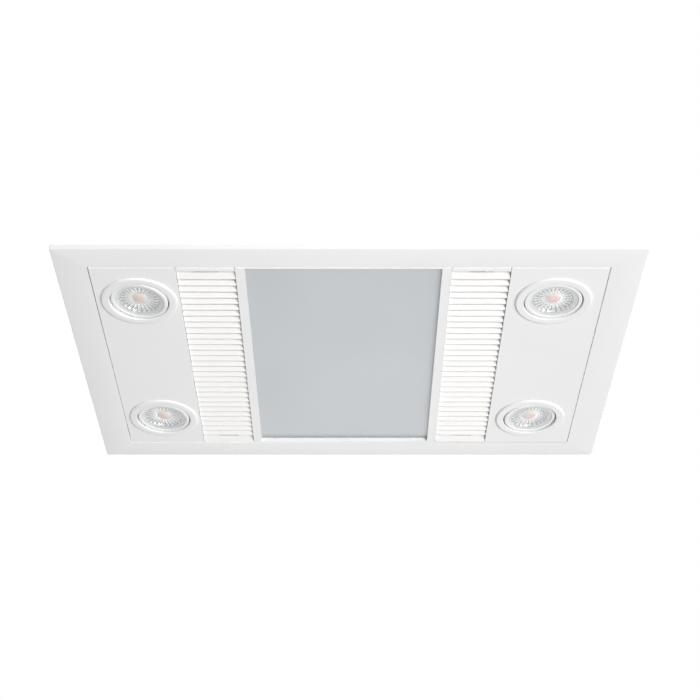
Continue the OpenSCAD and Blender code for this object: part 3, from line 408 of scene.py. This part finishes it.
# White polypropylene: a shade warmer and glossier than the ABS round it, and painted a touch
# lighter, a painted highlight that makes the slats' lower edges, lit by the lamps, the
# brightest thing on the fascia.
white_polypropylene = moulded_plastic("white_polypropylene", "#f5f4f2", 0.35)
GRILLE_EDGE, GRILLE_NEAR_EDGE, GRILLE_SHARP_DEG = 0.18, 1.3, 50
for node in ("intake_grille", "warm_air_grille"):
    grille = softened(node, f"{node}_moulding", GRILLE_EDGE, white_polypropylene,
                      GRILLE_SHARP_DEG)
    round_near_edge(grille, GRILLE_NEAR_EDGE)
    lay_slot_shelf(grille)
    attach(grille, node)
    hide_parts(node)


# Lamps
# Four lamps, each a fixed trim ring and a head that tilts in it on two pins, both of white
# polycarbonate. The ring clips into the front panel's hole.
PLACES = ("front_left", "rear_left", "front_right", "rear_right")
LEFT_X, RIGHT_X, LAMP_Y, PIVOT_Z = -224.0, 218.0, 120.0, -2.0
LAMP_AT = {"front_left": (LEFT_X, -LAMP_Y), "rear_left": (LEFT_X, LAMP_Y),
           "front_right": (RIGHT_X, -LAMP_Y), "rear_right": (RIGHT_X, LAMP_Y)}
LAMP_TILT_DEG = {"front_left": 4.0, "rear_left": 1.5, "front_right": 0.0, "rear_right": -3.0}


def turned(profile, turns, centre=(0, 0, 0), tilt_deg=0.0):
    """Points and quads of a closed profile turned about a standing axis. Profile point (r, z)
    at angle t is (r cos t, r sin t, z), then tilted about Y and moved to the centre."""
    a = np.asarray(profile, float)
    t = np.linspace(0, 2 * np.pi, turns, endpoint=False)[None]
    x, y = a[:, 0, None] * np.cos(t), a[:, 0, None] * np.sin(t)
    z = np.broadcast_to(a[:, 1, None], x.shape)
    c, s = math.cos(math.radians(tilt_deg)), math.sin(math.radians(tilt_deg))
    points = np.stack([c * x + s * z, y, c * z - s * x], 2).reshape(-1, 3) + np.array(centre)
    return points, blank_grid(len(a), turns, True, True)


# White polycarbonate: nearly smooth, so that the rings' lips catch a narrow, bright line.
white_lamp = moulded_plastic("white_polycarbonate", "#f0f0f0", 0.3, grain_depth_mm=0.004)
RING_BORE, RING_OUTER, RING_LOW = 31.7, 41.0, -7.2
SLEEVE_RADIUS, SLEEVE_TOP = 34.7, 6.0
BORE_CHAMFER = 0.7
LIP_START, LIP_MIDDLE, LIP_DROP, LIP_HEIGHT = 1.9, 0.6, 0.6, 1.5
RING_CUTS = [0.2, 0.4, 0.3, 0.8, 0.6, 0.5, 0.1, 0.1, 0.2]  # one for each corner
ring_section = eased(
    [(RING_BORE, SLEEVE_TOP), (RING_BORE, RING_LOW + BORE_CHAMFER),
     (RING_BORE + BORE_CHAMFER, RING_LOW), (RING_OUTER - LIP_START, RING_LOW),
     (RING_OUTER - LIP_MIDDLE, RING_LOW + LIP_DROP), (RING_OUTER, RING_LOW + LIP_HEIGHT),
     (RING_OUTER, FACE_Z), (SLEEVE_RADIUS, FACE_Z), (SLEEVE_RADIUS, SLEEVE_TOP)],
    RING_CUTS, 4)
for place, (x, y) in LAMP_AT.items():
    ring = made_piece(f"trim_ring_{place}", *turned(ring_section, 96, (x, y, 0)), white_lamp)
    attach(ring, "root")
    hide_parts(f"lamp_ring_{place}")

# The head's side is part of a ball, so that it turns in the ring's bore. Its lip holds the
# lens, and both of the lip's edges are rounded by points given as offsets from their corners.
HEAD_RADIUS, HEAD_LOW, HEAD_HIGH = 30.9, -4.2, 6.1
BALL_FROM_DEG, BALL_TO_DEG, BALL_STEPS = -5.5, 11.3, 9
LENS_RADIUS, LENS_LIP, LIP_THICKNESS, LENS_PLAY = 27.0, 0.7, 1.0, 0.3
INNER_ROUND = [(0, 0.7), (0.25, 0.25), (0.8, 0)]
OUTER_ROUND = [(-0.9, 0), (-0.35, 0.2), (0, 0.65)]
lip_radius, lens_seat = LENS_RADIUS - LENS_LIP, HEAD_LOW + LIP_THICKNESS
rim_radius = math.sqrt(HEAD_RADIUS ** 2 - HEAD_LOW ** 2)
ball_angle = np.radians(np.linspace(BALL_FROM_DEG, BALL_TO_DEG, BALL_STEPS))
head_section = np.concatenate([
    [(lip_radius, lens_seat)],
    np.array(INNER_ROUND) + (lip_radius, HEAD_LOW),
    np.array(OUTER_ROUND) + (rim_radius, HEAD_LOW),
    HEAD_RADIUS * np.stack([np.cos(ball_angle), np.sin(ball_angle)], 1),
    [(LENS_RADIUS + LENS_PLAY, HEAD_HIGH), (LENS_RADIUS + LENS_PLAY, lens_seat)]])
PIN_RADIUS, PIN_START, PIN_REACH, PIN_CHAMFER = 1.6, 29.5, 34.4, 0.3
pin_section = np.array([(0, PIN_START), (PIN_RADIUS, PIN_START),
                        (PIN_RADIUS, PIN_REACH - PIN_CHAMFER),
                        (PIN_RADIUS - PIN_CHAMFER, PIN_REACH), (0, PIN_REACH)])
for place, (x, y) in LAMP_AT.items():
    centre = (x, y, PIVOT_Z)
    head = made_piece(f"tilting_head_{place}",
                      *turned(head_section, 96, centre, LAMP_TILT_DEG[place]), white_lamp)
    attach(head, f"lamp_{place}")
    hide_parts(f"lamp_head_{place}")
    for end, way in (("near", -1), ("far", 1)):
        points, quads = turned(pin_section, 24)
        points = np.stack([points[:, 0], way * points[:, 2], points[:, 1]], 1) + centre
        pin = made_piece(f"tilt_pin_{place}_{end}", points, quads, white_lamp)
        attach(pin, f"lamp_{place}")


# Lenses
# Each lens is clear polycarbonate, its face turned with fine rings and its back moulded as a
# fluted dish that gathers the light. It snaps into the head from behind.
# Painted shade: the colour that the lens's streaks and rings are darkened towards.
PAINTED_SHADE_COLOUR = "#646b73"
PAINTED_SHADE_FULL_MM, PAINTED_SHADE_ENDS_MM = 17.0, (22.0, 23.0)
RIM_MM = (21.0, 25.5)  # over these distances the clear face turns milky


def lens_plastic(name, colour, warm, warm_mm, roughness, waves=(), rim_alpha=None, **sockets):
    """Clear or moulded lens plastic with a warm colour round its middle: on the silicone drop
    the phosphor's own colour, on the lens's face and back a painted reflection of the chip.
    Each wave is (waves a turn, waves a millimetre, depth of painted shade), a cosine of
    painted shade that darkens the dish's wall alone, and the rim may be less clear. The
    piece's plan map holds millimetres from the lamp's axis."""
    warm_range, haze_mm, haze_darkest = (0.6, 1.3), 5, 0.92
    material, tree, output = bare_material(name)
    plan = add(tree, "ShaderNodeUVMap", uv_map="plan").outputs[0]
    distance = add(tree, "ShaderNodeVectorMath", {0: plan},
                   operation="LENGTH").outputs["Value"]
    beyond_chip = add(tree, "ShaderNodeMapRange",
                      {"Value": distance, "From Min": warm_mm * warm_range[0],
                       "From Max": warm_mm * warm_range[1]},
                      interpolation_type="SMOOTHSTEP").outputs[0]
    haze = add(tree, "ShaderNodeTexNoise",
               {"Vector": plan, "Scale": 1 / haze_mm, "Detail": 2.0}).outputs["Fac"]
    pale = add(tree, "ShaderNodeMix",
               {0: haze, 6: linear(colour, haze_darkest), 7: linear(colour)},
               data_type="RGBA").outputs[2]
    tone = add(tree, "ShaderNodeMix", {0: beyond_chip, 6: linear(warm), 7: pale},
               data_type="RGBA").outputs[2]
    axis = add(tree, "ShaderNodeSeparateXYZ", {0: plan})
    turn = add(tree, "ShaderNodeMath", {0: axis.outputs[1], 1: axis.outputs[0]},
               operation="ARCTAN2").outputs[0]
    grows = add(tree, "ShaderNodeMapRange", {"Value": distance, "From Min": warm_mm,
                                             "From Max": PAINTED_SHADE_FULL_MM}).outputs[0]
    band = add(tree, "ShaderNodeMapRange",
               {"Value": distance, "From Min": PAINTED_SHADE_ENDS_MM[0], "From Max": PAINTED_SHADE_ENDS_MM[1],
                "To Min": grows, "To Max": 0.0}).outputs[0]
    for a_turn, a_mm, depth in waves:
        round_it = add(tree, "ShaderNodeMath", {0: turn, 1: a_turn}, operation="MULTIPLY")
        phase = add(tree, "ShaderNodeMath", {0: distance, 1: 2 * math.pi * a_mm,
                                             2: round_it.outputs[0]}, operation="MULTIPLY_ADD")
        crest = add(tree, "ShaderNodeMath", {0: phase.outputs[0]}, operation="COSINE")
        deep = add(tree, "ShaderNodeMath", {0: crest.outputs[0], 1: depth},
                   operation="MULTIPLY")
        painted_shade = add(tree, "ShaderNodeMath", {0: deep.outputs[0], 1: band},
                    operation="MULTIPLY", use_clamp=True)
        tone = add(tree, "ShaderNodeMix",
                   {0: painted_shade.outputs[0], 6: tone, 7: linear(PAINTED_SHADE_COLOUR)},
                   data_type="RGBA").outputs[2]
    shader = add(tree, "ShaderNodeBsdfPrincipled",
                 {"Base Color": tone, "Roughness": roughness, **sockets})
    if rim_alpha:
        clear = add(tree, "ShaderNodeMapRange",
                    {"Value": distance, "From Min": RIM_MM[0], "From Max": RIM_MM[1],
                     "To Min": sockets["Alpha"], "To Max": rim_alpha})
        tree.links.new(clear.outputs[0], shader.inputs["Alpha"])
    tree.links.new(shader.outputs[0], output.inputs["Surface"])
    return material


def plan_map(piece, centre):
    """Gives a piece a UV map of its places in plan, in millimetres from the centre."""
    place = np.empty(len(piece.data.vertices) * 3)
    piece.data.vertices.foreach_get("co", place)
    plan = place.reshape(-1, 3)[:, :2] * 1000 - np.array(centre[:2])
    corner = np.empty(len(piece.data.loops), int)
    piece.data.loops.foreach_get("vertex_index", corner)
    piece.data.uv_layers.new(name="plan").data.foreach_set("uv", plan[corner].ravel())


# Clear polycarbonate: the face is nearly invisible, with faint rings of painted shade over its
# turned rings, a painted reflection of the chip's peach colour round its middle, and milky at
# its rim.
# The size of the chip's painted reflection on the lens's face and back.
CHIP_SPOT_MM = 8.0
FACE_WAVES = [(0, 0.45, 0.2)]
clear_polycarbonate = lens_plastic("clear_polycarbonate", "#f8f9f9", "#f6ebe5", CHIP_SPOT_MM,
                                   0.12, FACE_WAVES, rim_alpha=0.75, Alpha=0.2)
# The moulded back mirrors the light. Its grey streaks and rings are painted shade laid over
# its flutes and ripples, and its warm, peach spot is a painted reflection of the chip. Both
# its flutes and its ripples are coarser than on a real lens, so that they show.
FLUTES, RIPPLE_MM = 24, 3.4
BACK_WAVES = [(FLUTES, 0, 0.78), (0, 1 / RIPPLE_MM, 0.3)]
lens_back = lens_plastic("moulded_lens_back", "#f3f4f4", "#efdcd3", CHIP_SPOT_MM, 0.22,
                         BACK_WAVES, Metallic=0.85)
LENS_LOW, LENS_HEIGHT, FRONT_THICKNESS = lens_seat, 9.0, 1.2
FACE_RINGS, RING_STEP_MM, RING_DEPTH_MM, RING_FLANK = 14, 1.6, 0.22, 0.7
EDGE_STEP, RIM_OUTER_STEP, RIM_WIDTH, FIRST_RING_STEP = 0.05, 0.5, 1.7, 2.6
FACE_SINK, MIDDLE_SINK = 0.2, 0.3
ring_radius = lip_radius - FIRST_RING_STEP - RING_STEP_MM * np.arange(FACE_RINGS)
face_rings = np.stack([
    np.stack([ring_radius, np.full(FACE_RINGS, LENS_LOW + FACE_SINK)], 1),
    np.stack([ring_radius - RING_STEP_MM * RING_FLANK,
              np.full(FACE_RINGS, LENS_LOW + FACE_SINK + RING_DEPTH_MM)], 1)], 1)
lens_section = np.concatenate([
    [(lip_radius - RIM_OUTER_STEP, LENS_LOW),
     (lip_radius - RIM_OUTER_STEP - RIM_WIDTH, LENS_LOW)],
    face_rings.reshape(-1, 2),
    [(0, LENS_LOW + MIDDLE_SINK), (0, LENS_LOW + FRONT_THICKNESS),
     (LENS_RADIUS, LENS_LOW + FRONT_THICKNESS), (LENS_RADIUS, LENS_LOW + EDGE_STEP)]])

BACK_GAP = 0.15
BACK_LOW = LENS_LOW + FRONT_THICKNESS + BACK_GAP
# The back's profile from its flange to its middle, as radius and height above BACK_LOW, and
# the radii of its rows of points, which stand closest where its wall turns.
BACK_PROFILE = np.array([(26.4, 0.0), (22.2, 0.1), (21.7, 0.5), (21.2, 2.0), (20.7, 2.3),
                         (7.6, 2.9)])
BACK_RADII = np.concatenate([np.linspace(26.4, 22.2, 5), np.linspace(22.0, 20.6, 10),
                             np.linspace(20.2, 7.6, 40)])
DISH_RADIUS, DISH_FADE_MM = 20.7, 1.5
FLUTE_DEPTH_MM, FLUTE_INNER, FLUTE_FADE_MM, RIPPLE_DEPTH_MM = 0.7, 9.0, 8.0, 0.08
DISH_TURNS = FLUTES * 8
DISH_SHELL = 0.0002


def lens_dish(centre, tilt_deg):
    """Points and quads of the lens's back. The height at radius r is the profile's, less
    fluting, a cosine round the axis that fades out towards the middle, less a fine ripple, a
    cosine of r. Both lie inside the dish's wall only."""
    r = BACK_RADII[:, None]
    t = np.linspace(0, 2 * np.pi, DISH_TURNS, endpoint=False)[None]
    inside = np.clip((DISH_RADIUS - r) / DISH_FADE_MM, 0, 1)
    fade = inside * np.clip((r - FLUTE_INNER) / FLUTE_FADE_MM, 0, 1)
    z = BACK_LOW + np.interp(-r, -BACK_PROFILE[:, 0], BACK_PROFILE[:, 1])
    z = z - FLUTE_DEPTH_MM * fade * (1 + np.cos(FLUTES * t)) / 2
    z = z - RIPPLE_DEPTH_MM * inside * (1 + np.cos(2 * np.pi * r / RIPPLE_MM)) / 2
    x, y = r * np.cos(t), r * np.sin(t)
    c, s = math.cos(math.radians(tilt_deg)), math.sin(math.radians(tilt_deg))
    points = np.stack([c * x + s * z, y + 0 * z, c * z - s * x], 2).reshape(-1, 3)
    return points + np.array(centre), blank_grid(len(r), DISH_TURNS, False, True)


for place, (x, y) in LAMP_AT.items():
    centre = (x, y, PIVOT_Z)
    lens = made_piece(f"clear_lens_{place}",
                      *turned(lens_section, 96, centre, LAMP_TILT_DEG[place]),
                      clear_polycarbonate)
    dish = made_piece(f"lens_dish_{place}", *lens_dish(centre, LAMP_TILT_DEG[place]),
                      lens_back)
    shell = dish.modifiers.new("shell", "SOLIDIFY")
    shell.thickness = DISH_SHELL
    shell.offset = 0.0
    for piece in (lens, dish):
        plan_map(piece, centre)
        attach(piece, f"lamp_{place}")
    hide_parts(f"lamp_lens_{place}")


# Lamp boards
# A white aluminium-backed board on the heat sink carries one chip, whose peach phosphor
# stands in a domed drop of silicone that reaches into the lens.
def coated(name, colour, roughness, grain_mm, grain_depth_mm):
    """A coated or cast surface: grain in the relief and in the tone. Its grain is drawn as
    coarse as it needs to be to show."""
    darkest, lightest = 0.92, 1.06
    material, tree, output = bare_material(name)
    place = add(tree, "ShaderNodeTexCoord").outputs["Object"]
    grain = add(tree, "ShaderNodeTexNoise", {"Vector": place, "Scale": 1000 / grain_mm,
                                             "Detail": 4.0}).outputs["Fac"]
    tone = add(tree, "ShaderNodeMix",
               {0: grain, 6: linear(colour, darkest), 7: linear(colour, lightest)},
               data_type="RGBA")
    bump = add(tree, "ShaderNodeBump", {"Height": grain, "Strength": 0.6,
                                        "Distance": grain_depth_mm / 1000})
    shader = add(tree, "ShaderNodeBsdfPrincipled",
                 {"Base Color": tone.outputs[2], "Roughness": roughness,
                  "Normal": bump.outputs[0]})
    tree.links.new(shader.outputs[0], output.inputs["Surface"])
    return material


# White solder mask: matt and slightly cream, seen only through the lens.
solder_mask = coated("white_solder_mask", "#e9e9e6", 0.45, 3.0, 0.01)
# Clear silicone over phosphor: peach in the middle, fading to white at the drop's edge.
PHOSPHOR_MM = 6.5
silicone_drop = lens_plastic("silicone_drop", "#f6f5f4", "#f5dccf", PHOSPHOR_MM, 0.3)
BOARD_LOW, BOARD_THICKNESS = LENS_LOW + LENS_HEIGHT, 1.6
BOARD_RADIUS, BOARD_CUTS = LENS_RADIUS - 1, [0, 0.15, 0.15, 0]
board_section = eased([(0, BOARD_LOW), (BOARD_RADIUS, BOARD_LOW),
                       (BOARD_RADIUS, BOARD_LOW + BOARD_THICKNESS),
                       (0, BOARD_LOW + BOARD_THICKNESS)], BOARD_CUTS, 2)
DOME_GAP, CHIP_SINK = 0.3, 0.1
DOME_RADIUS, DOME_LOW, DOME_RISE = 9.0, LENS_LOW + FRONT_THICKNESS + DOME_GAP, 4.0
DOME_TOP = BOARD_LOW + CHIP_SINK
dome_angle = np.radians(np.linspace(0, 90, 9))
chip_section = np.concatenate([
    np.stack([DOME_RADIUS * np.sin(dome_angle),
              DOME_LOW + DOME_RISE * (1 - np.cos(dome_angle))], 1),
    [(DOME_RADIUS, DOME_TOP), (0, DOME_TOP)]])
for place, (x, y) in LAMP_AT.items():
    for name, section, material in (("lamp_disc", board_section, solder_mask),
                                    ("lamp_chip", chip_section, silicone_drop)):
        shape = turned(section, 64, (x, y, PIVOT_Z), LAMP_TILT_DEG[place])
        piece = made_piece(f"{name}_{place}", *shape, material)
        plan_map(piece, (x, y))
        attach(piece, f"lamp_{place}")
        if name == "lamp_disc":
            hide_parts(f"lamp_board_{place}")


# Heat sinks and clips
# The heat sinks are pressed aluminium with upright fins, left bare. The clips that hold the
# rings are bent spring steel with a bright zinc finish.
def bare_metal(name, colour, roughness, mark_mm):
    """Bare or plated metal: marks of the given size change its gloss and tone a little."""
    darkest, lightest, gloss_range = 0.9, 1.05, 0.08
    material, tree, output = bare_material(name)
    place = add(tree, "ShaderNodeTexCoord").outputs["Object"]
    mark = add(tree, "ShaderNodeTexNoise", {"Vector": place, "Scale": 1000 / mark_mm,
                                            "Detail": 4.0}).outputs["Fac"]
    tone = add(tree, "ShaderNodeMix",
               {0: mark, 6: linear(colour, darkest), 7: linear(colour, lightest)},
               data_type="RGBA")
    gloss = add(tree, "ShaderNodeMapRange", {"Value": mark, "To Min": roughness - gloss_range,
                                             "To Max": roughness + gloss_range})
    shader = add(tree, "ShaderNodeBsdfPrincipled",
                 {"Base Color": tone.outputs[2], "Roughness": gloss.outputs[0],
                  "Metallic": 1.0})
    tree.links.new(shader.outputs[0], output.inputs["Surface"])
    return material


def finish_node(node, material):
    """A CAD node that stays gets a material in each of its slots."""
    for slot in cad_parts[node].material_slots:
        slot.material = material


# Pressed aluminium: a dull, blue-grey mirror with small rolling marks.
pressed_aluminium = bare_metal("pressed_aluminium", "#b4b7ba", 0.42, 2.5)
# Bright zinc plate: paler and sharper than the sheet, so the fasteners stand out on it.
bright_zinc = bare_metal("bright_zinc", "#c3c5c2", 0.3, 1.5)
for place in PLACES:
    finish_node(f"lamp_heat_sink_{place}", pressed_aluminium)
for node in ("lamp_clips", "fascia_screws", "motor_screws", "impeller_nut", "motor_shaft",
             "spigot_screws", "cover_screws"):
    finish_node(node, bright_zinc)


# Housing
# The housing is folded from 1 mm galvanised sheet, with the flange that is screwed to the
# ceiling, and its cover turns down over the walls. The zinc shows its spangle.
def galvanised(name, colour, roughness, spangle_mm):
    """Hot-dipped zinc: crystals of the given size with bent edges, each with its own tone and
    gloss."""
    bend, bends_a_spangle = 0.012, 0.7
    darkest, lightest, smoother, rougher = 0.88, 1.06, 0.08, 0.1
    material, tree, output = bare_material(name)
    place = add(tree, "ShaderNodeTexCoord").outputs["Object"]
    wave = add(tree, "ShaderNodeTexNoise",
               {"Vector": place, "Scale": 1000 / spangle_mm * bends_a_spangle, "Detail": 2.0})
    bent = add(tree, "ShaderNodeMix", {0: bend, 4: place, 5: wave.outputs["Color"]},
               data_type="VECTOR")
    crystal = add(tree, "ShaderNodeTexVoronoi",
                  {"Vector": bent.outputs[1], "Scale": 1000 / spangle_mm, "Randomness": 1.0})
    value = add(tree, "ShaderNodeSeparateColor", {0: crystal.outputs["Color"]}).outputs[0]
    tone = add(tree, "ShaderNodeMix",
               {0: value, 6: linear(colour, darkest), 7: linear(colour, lightest)},
               data_type="RGBA")
    gloss = add(tree, "ShaderNodeMapRange", {"Value": value, "To Min": roughness - smoother,
                                             "To Max": roughness + rougher})
    shader = add(tree, "ShaderNodeBsdfPrincipled",
                 {"Base Color": tone.outputs[2], "Roughness": gloss.outputs[0],
                  "Metallic": 0.85})
    tree.links.new(shader.outputs[0], output.inputs["Surface"])
    return material


# Galvanised steel: dull grey, broken up by the spangle's patches, which are 9 mm wide.
galvanised_sheet = galvanised("galvanised_sheet", "#a6abae", 0.48, 9.0)
SHEET_EDGE = 0.25
for node, name in (("housing", "sheet_housing"), ("top_cover", "sheet_cover"),
                   ("fan_deck", "sheet_tray"), ("fascia_brackets", "angle_brackets"),
                   ("heater_frame", "sheet_heater_frame")):
    sheet = softened(node, name, SHEET_EDGE, galvanised_sheet)
    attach(sheet, "root")
    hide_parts(node)


# Fan
# The scroll, the inlet ring and the impeller are black polypropylene mouldings, and the motor
# stands on rubber grommets over the scroll in a grey painted can.

# Black polypropylene: charcoal rather than black, with a coarser grain than the fascia's.
black_plastic = moulded_plastic("black_polypropylene", "#343436", 0.5, 0.8, 0.02)
# Grey motor paint: a thick coat with a faint orange-peel skin.
grey_paint = coated("grey_motor_paint", "#8e9092", 0.5, 1.2, 0.03)
# Nitrile rubber: almost black, with hardly any gloss.
grommet_rubber = coated("nitrile_rubber", "#202020", 0.75, 0.6, 0.02)
# Pale polypropylene: a greyish white, duller than the fascia.
pale_plastic = moulded_plastic("pale_polypropylene", "#e4e4e0", 0.45)
FAN_MOULDING_EDGE = 0.3
for node, name in (("inlet_ring", "bell_mouth"), ("fan_scroll", "scroll_casing"),
                   ("air_box", "air_box_moulding"), ("duct_spigot", "duct_collar")):
    moulding = softened(node, name, FAN_MOULDING_EDGE, black_plastic)
    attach(moulding, "root")
    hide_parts(node)
for node, material in (("impeller", black_plastic), ("thermal_cutout", black_plastic),
                       ("motor", grey_paint), ("motor_grommets", grommet_rubber),
                       ("capacitor", pale_plastic), ("flap_motor", pale_plastic)):
    finish_node(node, material)


# Heater and flap
# Aluminium fins are bonded across ceramic bars, and a flap of aluminium sheet on a steel axle
# turns in nylon bushes to send the air down through them or out to the duct.

# Fin strip aluminium: pale and lightly rolled, so the fins and the flap show bright inside.
fin_strip = bare_metal("fin_strip_aluminium", "#c9cac7", 0.4, 3.0)
# Ivory nylon: unpigmented, so it is warmer than any other plastic here.
ivory_nylon = moulded_plastic("ivory_nylon", "#e6dfc9", 0.45)
for node, material in (("heater_core", fin_strip), ("changeover_flap", fin_strip),
                       ("flap_bushes", ivory_nylon)):
    finish_node(node, material)


# Duct end and terminal box
# The shutter is a thin pale moulding that hangs on its axle in the collar. The terminal box,
# its lid, the gland and the lamp drivers' cases are pale mouldings on the housing's left wall.
CASE_EDGE = 0.4
for node, name, body in (("backdraft_shutter", "shutter_disc", "backdraft_shutter"),
                         ("terminal_box", "terminal_box_moulding", "root"),
                         ("terminal_lid", "terminal_lid_moulding", "root"),
                         ("cable_gland", "gland_moulding", "root"),
                         ("lamp_drivers", "driver_cases", "root")):
    moulding = softened(node, name, CASE_EDGE, pale_plastic)
    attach(moulding, body)
    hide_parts(node)
finish_node("terminal_block", ivory_nylon)
